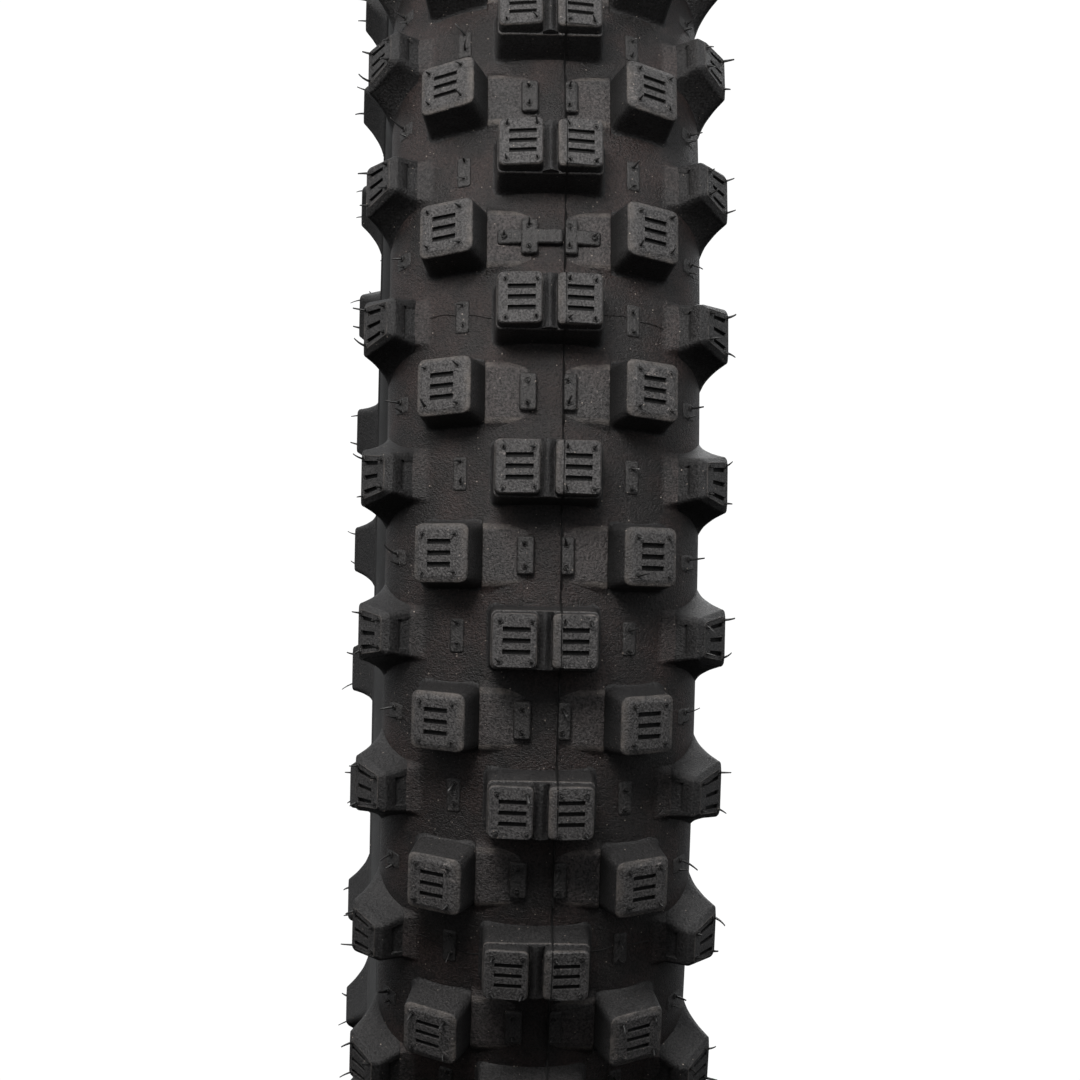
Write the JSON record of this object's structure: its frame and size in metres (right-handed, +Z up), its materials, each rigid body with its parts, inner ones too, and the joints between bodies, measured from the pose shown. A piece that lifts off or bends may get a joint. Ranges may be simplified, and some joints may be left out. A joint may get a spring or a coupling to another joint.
{
  "type": "motorcycle tire",
  "caption": "Off-road motorcycle tire with a hollow bias-ply casing, wire beads and rows of separate tread blocks.",
  "frame": {"origin": "wheel centre: on the axle line, in the middle of the tire's width", "axes": "+Y along the axle to the right, +Z up, +X forward; the tire stands upright on two rows of centre blocks"},
  "size_m": [0.6786, 0.1262, 0.6786],
  "materials": {
    "tread_rubber": "matte black tread rubber",
    "sidewall_rubber": "satin black sidewall rubber",
    "bead_rubber": "hard black rubber",
    "ply_fabric": "rubber-coated nylon cord",
    "liner_rubber": "smooth grey-black rubber",
    "bead_steel": "bronze-coated steel wire"
  },
  "bodies": {
    "root": {"tread_base": "tread_rubber", "breaker": "ply_fabric", "outer_ply": "ply_fabric", "inner_ply": "ply_fabric", "inner_liner": "liner_rubber", "sidewall_left": "sidewall_rubber", "sidewall_right": "sidewall_rubber", "chafer_left": "bead_rubber", "chafer_right": "bead_rubber", "bead_filler_left": "bead_rubber", "bead_filler_right": "bead_rubber", "bead_wrap_left": "ply_fabric", "bead_wrap_right": "ply_fabric", "bead_core_left": "bead_steel", "bead_core_right": "bead_steel", "centre_block_bases": "tread_rubber", "centre_tie_ribs": "tread_rubber", "centre_blocks_left": "tread_rubber", "centre_blocks_right": "tread_rubber", "transition_blocks_left": "tread_rubber", "transition_blocks_right": "tread_rubber", "shoulder_blocks_left": "tread_rubber", "shoulder_blocks_right": "tread_rubber", "shoulder_steps_left": "tread_rubber", "shoulder_steps_right": "tread_rubber", "row_pads_left": "tread_rubber", "row_pads_right": "tread_rubber", "tie_platforms": "tread_rubber", "platform_pads_left": "tread_rubber", "platform_pads_right": "tread_rubber", "wear_mark_bars": "tread_rubber"}
  },
  "joints": []
}
